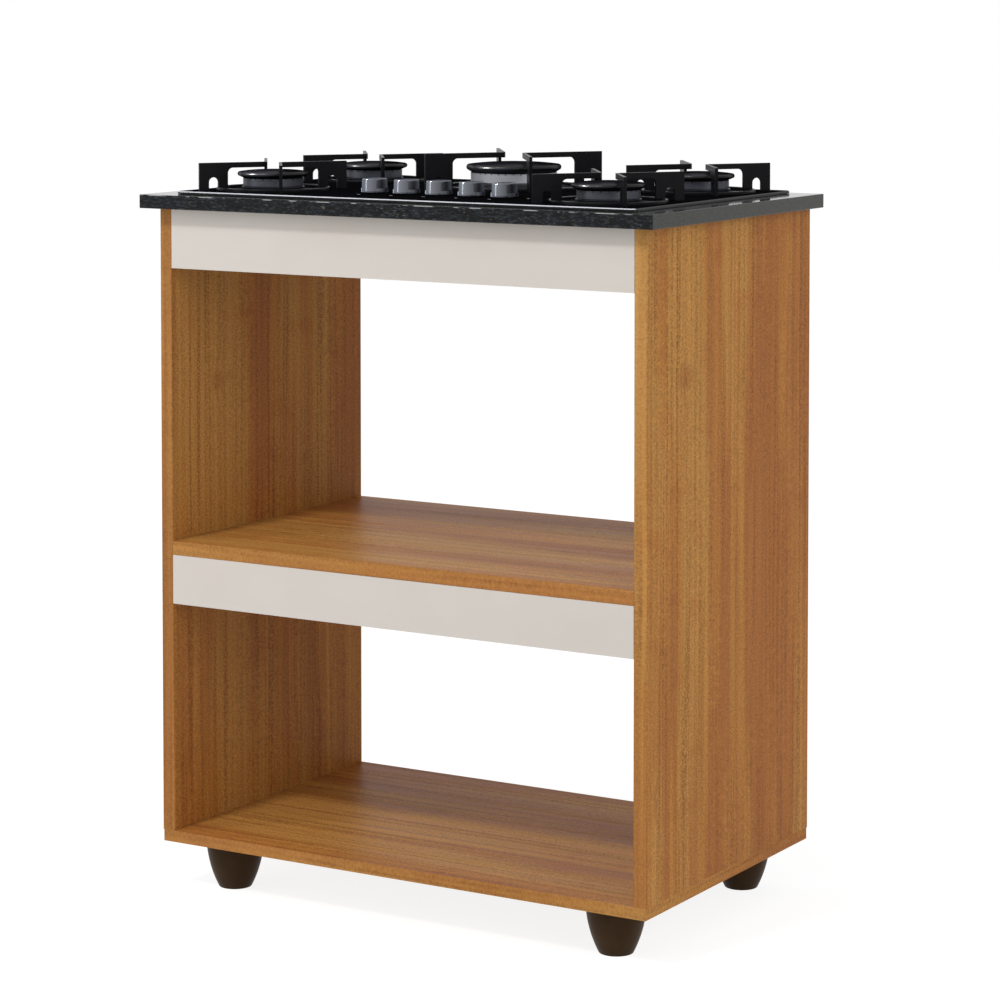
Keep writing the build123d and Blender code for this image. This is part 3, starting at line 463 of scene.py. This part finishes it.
# Worktop

stoneLook = {
    "groundTone": tone(21, 23, 26),
    "darkTone": tone(6, 7, 8),
    "fleckTone": tone(98, 95, 88),
    "coolFleckTone": tone(50, 57, 64),
    "endTone": tone(64, 63, 57),
    # the pale broken line at the top front edge: the sheets' joint together with a painted reflection
    "jointHighlightTone": tone(150, 152, 152),
    "jointHighlightWidth": 0.0013,
    # long flecks that lie along the front, each layer with the span of noise that shows
    "clouds": {"by": (70, 260, 300), "detail": 4, "roughness": 0.65},
    "cloudSpan": (0.32, 0.7),
    "flecks": {"by": (150, 700, 700)},
    "fleckSpan": (0.60, 0.74),
    "fleckAmount": 0.8,
    "coolFlecks": {"by": (100, 450, 420)},
    "coolFleckSpan": (0.52, 0.70),
    "coolFleckAmount": 0.65,
    "scatter": {"scale": 45, "detail": 1},
    "scatterSpan": (0.35, 0.65),
    "scatterFloor": 0.35,
    "endAmount": 0.8,
    "jointHighlightBreaks": {"by": (27, 0, 0)},
    "jointHighlightSpan": (0.50, 0.55),
    "roughness": 0.10,
    "specular": 0.16,
    "reliefDepth": 0.00003,
}


def makeStoneMaterial(look):
    material, tree, shader = newMaterial("worktopStone", Roughness=look["roughness"],
                                         Specular_IOR_Level=look["specular"])
    place = surfacePlace(tree)
    position = place["Object"]
    sides = useGroup(tree, faceSides, normal=place["Normal"])
    cloud = remap(tree, noise(tree, position, **look["clouds"]), *look["cloudSpan"])
    fleck = remap(tree, noise(tree, position, **look["flecks"]), *look["fleckSpan"])
    cool = remap(tree, noise(tree, position, **look["coolFlecks"]), *look["coolFleckSpan"])
    scatter = noise(tree, position, **look["scatter"])
    scatter = remap(tree, scatter, *look["scatterSpan"], look["scatterFloor"], 1.0)
    shade = blendTone(tree, cloud, look["darkTone"], look["groundTone"])
    shade = blendTone(tree, times(tree, cool, look["coolFleckAmount"]), shade, look["coolFleckTone"])
    amount = times(tree, times(tree, fleck, scatter), look["fleckAmount"])
    shade = blendTone(tree, amount, shade, look["fleckTone"])
    # the ends are finer and paler
    soft = useGroup(tree, mottle, position=position, grain=700.0, cloud=20.0)
    endMix = times(tree, soft["Speckle"], look["endAmount"])
    endShade = blendTone(tree, endMix, look["endTone"], look["groundTone"])
    shade = blendTone(tree, sides["Along X"], shade, endShade)
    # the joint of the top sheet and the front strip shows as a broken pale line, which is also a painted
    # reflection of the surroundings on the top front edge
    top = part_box("worktop")[1].z
    jointHighlight = calc(tree, "GREATER_THAN", splitPoint(tree, position)["Z"], top - look["jointHighlightWidth"])
    broken = remap(tree, noise(tree, position, **look["jointHighlightBreaks"]), *look["jointHighlightSpan"])
    jointHighlight = times(tree, times(tree, jointHighlight, broken), sides["Along Y"])
    shade = blendTone(tree, jointHighlight, shade, look["jointHighlightTone"])
    connect(tree, shade, shader["Base Color"])
    varyRoughness(tree, shader, amount, look, below=0.0, above=0.15)
    emboss(tree, shader, soft["Height"], strength=0.15, depth=look["reliefDepth"])
    return material


worktopStone = makeStoneMaterial(stoneLook)
print("worktop finished")


# Feet

footLook = {
    "tone": tone(60, 42, 22),
    "shadeTone": tone(52, 36, 18),
    "rubbedTone": tone(70, 54, 38),
    "wear": 0.25,
    "roughness": 0.45,
    "specular": 0.08,
    "grain": 1100.0,
    "reliefDepth": 0.00006,
}


def makePlasticMaterial(name, look):
    # moulded or enamelled skin, rubbed in places
    material, tree, shader = newMaterial(name, Roughness=look["roughness"],
                                         Specular_IOR_Level=look["specular"])
    place = surfacePlace(tree)
    position = place["Object"]
    skin = useGroup(tree, mottle, position=position, grain=look["grain"], cloud=28.0)
    rubbed = useGroup(tree, rubbing, position=position, size=26.0, amount=look["wear"])["Mask"]
    shade = blendTone(tree, skin["Patch"], look["shadeTone"], look["tone"])
    shade = blendTone(tree, rubbed, shade, look["rubbedTone"])
    if "cornerHighlightTone" in look:
        # painted highlight: the ends of a grip's flats are made paler, standing in for light on a rounder
        # grip than the flats give
        sides = useGroup(tree, faceSides, normal=place["Normal"])
        away = calc(tree, "ABSOLUTE", centred(tree, splitPoint(tree, position)["Y"], look["middleY"]))
        corner = times(tree, sides["Along X"], remap(tree, away, *look["cornerHighlightSpan"]))
        shade = blendTone(tree, corner, shade, look["cornerHighlightTone"])
    if "coat" in look:
        addCoat(tree, shader, look["coat"])
    connect(tree, shade, shader["Base Color"])
    varyRoughness(tree, shader, skin["Speckle"], look, below=0.05, above=0.06)
    emboss(tree, shader, skin["Height"], strength=0.3, depth=look["reliefDepth"])
    return material


footPlastic = makePlasticMaterial("footPlastic", footLook)
print("feet finished")


# Cooktop glass and its printed marks

glassLook = {
    "tone": tone(13, 13, 15),
    "shadeTone": tone(9, 9, 11),
    "bevelHighlightTone": tone(205, 206, 214),
    # the front bevel, which takes the painted highlight, found by how far its faces look up and forwards
    "bevelLow": (0.25, 0.4),
    "bevelHigh": (0.93, 0.85),
    "bevelFront": (-0.2, -0.5),
    "roughness": 0.35,
    "wipedRoughness": 0.12,
    "reliefDepth": 0.00002,
    "coat": {"goneAt": 0.90, "fullAt": 0.45, "strength": 1.0, "roughness": 0.12, "ior": 1.4},
    "marks": {"frontGap": 0.0372, "length": 0.0050, "width": 0.0016, "thickness": 0.00012, "lastX": 0.1323},
    "markTone": tone(190, 192, 198),
    "markRoughness": 0.5,
}
inkLook = {"wornTone": tone(60, 60, 64), "wornShare": 0.25, "specular": 0.2, "reliefDepth": 0.00001}


def makeGlassMaterial(look):
    material, tree, shader = newMaterial("cooktopGlass", Roughness=look["roughness"], Specular_IOR_Level=0.0)
    place = surfacePlace(tree)
    position = place["Object"]
    addCoat(tree, shader, look["coat"])
    wiped = useGroup(tree, rubbing, position=position, size=12.0, amount=0.4)["Mask"]
    skin = useGroup(tree, mottle, position=position, grain=500.0, cloud=14.0)
    shade = blendTone(tree, skin["Patch"], look["shadeTone"], look["tone"])
    # painted highlight: the ground bevel's colour is made bright along the front, standing in for the light
    # that it reflects
    facing = splitPoint(tree, place["Normal"])
    aboveEdge = remap(tree, facing["Z"], *look["bevelLow"])
    bevel = times(tree, aboveEdge, remap(tree, facing["Z"], *look["bevelHigh"]))
    frontBevelHighlight = times(tree, bevel, remap(tree, facing["Y"], *look["bevelFront"]))
    connect(tree, blendTone(tree, frontBevelHighlight, shade, look["bevelHighlightTone"]), shader["Base Color"])
    rough = calc(tree, "ADD", times(tree, wiped, look["wipedRoughness"]), look["roughness"])
    connect(tree, rough, shader["Roughness"])
    emboss(tree, shader, skin["Height"], strength=0.1, depth=look["reliefDepth"])
    return material


def makeMark(name, x, y, z, look, material):
    # a printed dash with round ends, as thick as its ink
    endSteps = 8  # straight pieces round each end
    radius = look["width"] / 2
    reach = (look["length"] - look["width"]) / 2
    outline = []
    for side, start in ((1, -90), (-1, 90)):
        for step in range(endSteps + 1):
            angle = math.radians(start + 180 * step / endSteps)
            outline.append((x + side * reach + math.cos(angle) * radius, y + math.sin(angle) * radius))
    mesh = bpy.data.meshes.new(name)
    build = bmesh.new()
    lower = [build.verts.new((px, py, z)) for px, py in outline]
    upper = [build.verts.new((px, py, z + look["thickness"])) for px, py in outline]
    build.faces.new(list(reversed(lower)))
    build.faces.new(upper)
    for here in range(len(outline)):
        after = (here + 1) % len(outline)
        build.faces.new((lower[here], lower[after], upper[after], upper[here]))
    build.to_mesh(mesh)
    build.free()
    mesh.materials.append(material)
    return addObject(name, mesh)


def makeInkMaterial(name, inkTone, roughness, look):
    material, tree, shader = newMaterial(name, Roughness=roughness, Specular_IOR_Level=look["specular"])
    position = surfacePlace(tree)["Object"]
    skin = useGroup(tree, mottle, position=position, grain=2500.0, cloud=300.0)
    worn = times(tree, skin["Speckle"], look["wornShare"])
    connect(tree, blendTone(tree, worn, inkTone, look["wornTone"]), shader["Base Color"])
    emboss(tree, shader, skin["Height"], strength=0.2, depth=look["reliefDepth"])
    return material


cooktopGlass = makeGlassMaterial(glassLook)
markInk = makeInkMaterial("markInk", glassLook["markTone"], glassLook["markRoughness"], inkLook)
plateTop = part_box("cooktop_plate")[1].z
marks = glassLook["marks"]
knobCentres = {}
for spot in places:
    low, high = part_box("knob_" + spot)
    knobCentres[spot] = ((low.x + high.x) / 2, (low.y + high.y) / 2, high.z)
# one mark in front of each knob, and one beside the last
markSpots = [(x, y - marks["frontGap"]) for x, y, z in knobCentres.values()]
markSpots.append((marks["lastX"], knobCentres["centre"][1]))
for number, (x, y) in enumerate(markSpots, 1):
    dash = makeMark(f"dial_mark_{number}", x, y, plateTop, marks, markInk)
    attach(dash, "cabinet")
print("cooktop glass finished:", len(markSpots), "marks")


# Burners and pan supports

enamelLook = {
    "tone": tone(15, 15, 18),
    "shadeTone": tone(11, 11, 14),
    "rubbedTone": tone(27, 27, 31),
    "wear": 0.3,
    "roughness": 0.33,
    "specular": 0.07,
    "grain": 420.0,
    "reliefDepth": 0.00007,
}
capLook = dict(enamelLook, roughness=0.40, specular=0.0, reliefDepth=0.00005,
               coat={"goneAt": 0.90, "fullAt": 0.55, "strength": 0.5, "roughness": 0.29, "ior": 1.5})
alloyLook = {
    "tone": tone(80, 82, 91),
    "shadeTone": tone(68, 70, 79),
    "heatTone": tone(74, 72, 74),
    "heatShare": 0.3,
    "roughness": 0.46,
    "metallic": 0.55,
    "pitch": 0.0006,
    "grain": 900.0,
}
# painted light: the centre crown is the same alloy made much paler, standing in for the brighter light and
# reflection that it catches
centreCrownLitLook = dict(alloyLook, tone=tone(182, 185, 192), shadeTone=tone(170, 173, 180),
                      heatTone=tone(172, 171, 173))


metalRelief = {"ringShare": 0.6, "mottleShare": 0.4, "depth": 0.00003}


def makeMetalMaterial(name, look):
    # a bare metal with its tool marks and a slight mottle
    material, tree, shader = newMaterial(name, Metallic=look["metallic"], Roughness=look["roughness"])
    position = surfacePlace(tree)["Object"]
    skin = useGroup(tree, mottle, position=position, grain=look["grain"], cloud=35.0)
    rings = useGroup(tree, toolMarks, position=position, pitch=look["pitch"])["Mask"]
    shade = blendTone(tree, skin["Patch"], look["shadeTone"], look["tone"])
    if "heatTone" in look:
        shade = blendTone(tree, times(tree, skin["Patch"], look["heatShare"]), shade, look["heatTone"])
    connect(tree, shade, shader["Base Color"])
    varyRoughness(tree, shader, rings, look, below=0.06, above=0.08)
    relief = calc(tree, "ADD", times(tree, rings, metalRelief["ringShare"]),
                  times(tree, skin["Height"], metalRelief["mottleShare"]))
    emboss(tree, shader, relief, strength=0.3, depth=metalRelief["depth"])
    return material


blackEnamel = makePlasticMaterial("blackEnamel", enamelLook)
capEnamel = makePlasticMaterial("capEnamel", capLook)
burnerAlloy = makeMetalMaterial("burnerAlloy", alloyLook)
largeBurnerAlloy = makeMetalMaterial("largeBurnerAlloy", centreCrownLitLook)
print("burners and pan supports finished")


# Knobs

knobLook = {
    "tone": tone(56, 59, 66),
    "shadeTone": tone(50, 53, 60),
    "rubbedTone": tone(64, 67, 75),
    # cornerHighlightTone is a painted highlight on the grip flats' ends
    "cornerHighlightTone": tone(112, 115, 124),
    "middleY": sum(corner.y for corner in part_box("knob_centre")) / 2,
    "cornerHighlightSpan": (0.002, 0.012),  # how far from the flats' middle the painted highlight at the ends starts, and is full
    "wear": 0.15,
    "roughness": 0.40,
    "specular": 0.0,
    "grain": 1500.0,
    "reliefDepth": 0.00002,
    "coat": {"goneAt": 0.90, "fullAt": 0.55, "strength": 0.8, "roughness": 0.10, "ior": 1.9},
    "pointer": {"length": 0.0085, "width": 0.0011, "thickness": 0.00015, "reach": 0.0095},
    "pointerTone": tone(28, 28, 32),
    "pointerRoughness": 0.4,
}

knobPlastic = makePlasticMaterial("knobPlastic", knobLook)
pointerInk = makeInkMaterial("pointerInk", knobLook["pointerTone"], knobLook["pointerRoughness"], inkLook)
pointer = knobLook["pointer"]
for spot, (x, y, z) in knobCentres.items():
    line = makeMark("pointer_" + spot, 0, 0, 0, pointer, pointerInk)
    line.location = (x, y - pointer["reach"], z)
    line.rotation_euler = (0, 0, math.radians(90))
    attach(line, "knob_" + spot)
print("knobs finished")


# Inner metals, seal and dowels

innerLooks = {
    "zincSteel": {"tone": tone(196, 197, 196), "shadeTone": tone(172, 175, 178), "roughness": 0.38,
                  "metallic": 1.0, "pitch": 0.0005, "grain": 800.0},
    "blackSteel": {"tone": tone(48, 48, 51), "shadeTone": tone(36, 36, 39), "roughness": 0.45,
                   "metallic": 1.0, "pitch": 0.0005, "grain": 800.0},
    "pipeSteel": {"tone": tone(150, 152, 156), "shadeTone": tone(120, 123, 128), "roughness": 0.42,
                  "metallic": 1.0, "pitch": 0.0008, "grain": 700.0},
    "tapBrass": {"tone": tone(206, 170, 98), "shadeTone": tone(180, 140, 74), "roughness": 0.32,
                 "metallic": 1.0, "pitch": 0.0004, "grain": 900.0},
    "softAluminium": {"tone": tone(214, 216, 219), "shadeTone": tone(190, 193, 198), "roughness": 0.40,
                      "metallic": 1.0, "pitch": 0.0010, "grain": 600.0},
}
trayLook = {"tone": tone(186, 190, 192), "shadeTone": tone(150, 155, 160), "roughness": 0.40, "metallic": 0.9,
            "crystalScale": 130.0, "reliefDepth": 0.00004}
sealLook = {"tone": tone(34, 34, 36), "shadeTone": tone(24, 24, 26), "rubbedTone": tone(52, 52, 54),
            "wear": 0.25, "roughness": 0.85, "specular": 0.5, "grain": 1600.0, "reliefDepth": 0.00020}
dowelLook = dict(carcassLook, mainTone=tone(206, 178, 132), paleTone=tone(222, 198, 156),
                 darkTone=tone(184, 152, 108), streakTone=tone(170, 132, 90), knots=[])


def makeTrayMaterial(look):
    # hot-dipped sheet with its crystal pattern
    material, tree, shader = newMaterial("traySheet", Metallic=look["metallic"], Roughness=look["roughness"])
    position = surfacePlace(tree)["Object"]
    sockets = {"Vector": position, "Scale": look["crystalScale"]}
    crystal = addNode(tree, "ShaderNodeTexVoronoi", sockets).outputs["Color"]
    spark = addNode(tree, "ShaderNodeSeparateColor", {0: crystal}).outputs[0]
    skin = useGroup(tree, mottle, position=position, grain=700.0, cloud=20.0)
    connect(tree, blendTone(tree, spark, look["shadeTone"], look["tone"]), shader["Base Color"])
    varyRoughness(tree, shader, spark, look, below=0.1, above=0.1)
    emboss(tree, shader, skin["Height"], strength=0.25, depth=look["reliefDepth"])
    return material


innerMetals = {name: makeMetalMaterial(name, look) for name, look in innerLooks.items()}
traySheet = makeTrayMaterial(trayLook)
sealFoam = makePlasticMaterial("sealFoam", sealLook)
dowelBeech = makeBoardMaterial("dowelBeech", dowelLook, "x", 0.11)
print("inner pieces finished")


# Every solid gets its finish

finishes = {
    # the left board takes the copy of the board finish with the painted shade on its edges
    "side_left": leftBoardShaded, "side_right": uprightBoard, "base_panel": lyingBoard, "middle_shelf": lyingBoard,
    "worktop": worktopStone, "wood_dowels": dowelBeech,
    "cooktop_plate": cooktopGlass, "cooktop_seal": sealFoam, "cooktop_tray": traySheet,
    "gas_manifold": innerMetals["pipeSteel"], "gas_inlet": innerMetals["tapBrass"],
    "tap_bodies": innerMetals["tapBrass"], "feed_tubes": innerMetals["softAluminium"],
    "drip_dishes": capEnamel, "burner_cups": burnerAlloy,
}
for name in ("upper_front", "lower_front", "upper_rear", "lower_rear"):
    finishes[name + "_rail"] = railCoating
for name in ("front_left", "front_right", "rear_left", "rear_right"):
    finishes["foot_" + name] = footPlastic
for name in ("cam_bolts", "cam_locks", "base_screws", "foot_screws", "worktop_brackets", "short_screws",
             "cooktop_clamps"):
    finishes[name] = innerMetals["zincSteel"]
for kind, finish in (("crown_", burnerAlloy), ("cap_", capEnamel), ("pan_support_", blackEnamel),
                     ("tap_plug_", innerMetals["tapBrass"]), ("spindle_", innerMetals["blackSteel"]),
                     ("knob_", knobPlastic)):
    for spot in places:
        finishes[kind + spot] = finish
# the centre crown takes the paler, painted-light copy of the burner alloy
finishes["crown_centre"] = largeBurnerAlloy
for name, solid in nodes.items():
    for slot in solid.material_slots:
        slot.material = finishes[name]
    if not solid.material_slots:
        solid.data.materials.append(finishes[name])
print("finishes assigned:", len(finishes))


# Floor, light and camera

stageLook = {
    "floorTone": tone(236, 236, 236),
    "floorSize": 40.0,
    "floorShown": 0.72,  # how much of the floor is plain white to the camera, the rest takes the shadow
    "floorWhite": 1.2,
    "floorRoughness": 0.9,
    "skyLight": 0.62,
}
# onlyOn names the kinds of piece that a lamp lights alone, skips those that it leaves out
lampLooks = {
    "key": {"at": (-0.82, -4.5, 5.7), "toward": (0.0, 0.0, 0.7), "size": (0.74, 0.74), "power": 174.0,
            "skips": ("knob_",)},
    "rightFill": {"at": (4.2, -1.2, 2.2), "toward": (0.3, 0.0, 0.5), "size": (2.2, 2.2), "power": 40.0,
                  "skips": ("knob_", "cap_")},
    "leftStrip": {"at": (-1.87, -1.75, 1.25), "toward": (0.0, -0.1, 0.92), "size": (0.22, 1.7),
                  "power": 12.0},
    "knobKey": {"at": (-1.08, -1.12, 1.6), "toward": (0.0, -0.13, 0.92), "size": (0.3, 0.3), "power": 112.0,
                "onlyOn": ("knob_", "cap_")},
}
cameraLook = {
    "at": (2.16507, -3.54982, 1.17043),
    "tilt": 87.15,
    "turn": 31.056,
    "lens": 115.47,
    "sensor": 36.0,
    "shiftY": -0.3448,
    "farEnd": 100.0,
}
white = (1, 1, 1, 1)


def seenRays(tree):
    # 1 for rays from the camera, and for those that a piece has mirrored or let through
    path = addNode(tree, "ShaderNodeLightPath").outputs
    bent = calc(tree, "MAXIMUM", path["Is Glossy Ray"], path["Is Transmission Ray"])
    return calc(tree, "MAXIMUM", path["Is Camera Ray"], bent)


def makeFloor(look):
    # seen rays get a share of plain white on top of the lit floor
    material, tree, shader = newMaterial("paleFloor", Roughness=look["floorRoughness"],
                                         Specular_IOR_Level=0.0)
    connect(tree, look["floorTone"], shader["Base Color"])
    lit = tree.nodes["Principled BSDF"].outputs[0]
    sockets = {"Color": white, "Strength": look["floorWhite"]}
    glow = addNode(tree, "ShaderNodeEmission", sockets).outputs[0]
    share = times(tree, seenRays(tree), look["floorShown"])
    mixed = addNode(tree, "ShaderNodeMixShader", {0: share, 1: lit, 2: glow}).outputs[0]
    connect(tree, mixed, tree.nodes["Material Output"].inputs["Surface"])
    mesh = bpy.data.meshes.new("floor")
    half = look["floorSize"] / 2
    corners = [(-half, -half, 0), (half, -half, 0), (half, half, 0), (-half, half, 0)]
    mesh.from_pydata(corners, [], [(0, 1, 2, 3)])
    mesh.materials.append(material)
    floor = addObject("floor", mesh)


def makeSky(look):
    # soft light from all round, which looks plain white itself
    world = bpy.data.worlds.new("studio")
    world.use_nodes = True
    bpy.context.scene.world = world
    tree = world.node_tree
    background = tree.nodes["Background"].inputs
    connect(tree, white, background["Color"])
    connect(tree, remap(tree, seenRays(tree), 0, 1, look["skyLight"], 1.0), background["Strength"])


def makeLamp(name, look):
    light = bpy.data.lights.new(name, "AREA")
    light.shape = "RECTANGLE"
    light.size, light.size_y = look["size"]
    light.energy = look["power"]
    lamp = addObject(name, light)
    lamp.location = look["at"]
    aim = Vector(look["toward"]) - Vector(look["at"])
    lamp.rotation_euler = aim.to_track_quat("-Z", "Y").to_euler()
    lamp.visible_camera = False
    return lamp


def limitReach(lamp, kinds, state):
    # the lamp lights these kinds of piece alone, or all but these
    reached = bpy.data.collections.new(lamp.name + "Reach")
    lamp.light_linking.receiver_collection = reached
    for kind in kinds:
        for spot in places:
            reached.objects.link(nodes[kind + spot])
    for link in reached.collection_objects:
        link.light_linking.link_state = state


def makeCamera(look):
    lens = bpy.data.cameras.new("camera")
    lens.sensor_width = look["sensor"]
    lens.lens = look["lens"]
    lens.shift_y = look["shiftY"]
    lens.clip_end = look["farEnd"]
    camera = addObject("camera", lens)
    camera.location = look["at"]
    camera.rotation_euler = (math.radians(look["tilt"]), 0, math.radians(look["turn"]))
    bpy.context.scene.camera = camera


makeFloor(stageLook)
makeSky(stageLook)
for name, look in lampLooks.items():
    lamp = makeLamp(name, look)
    if "onlyOn" in look:
        limitReach(lamp, look["onlyOn"], "INCLUDE")
    if "skips" in look:
        limitReach(lamp, look["skips"], "EXCLUDE")
makeCamera(cameraLook)
bpy.context.scene.view_settings.view_transform = "Standard"
print("floor, light and camera set")

for material in bpy.data.materials:
    if material.use_nodes:
        spread(material.node_tree)
for group in bpy.data.node_groups:
    spread(group)
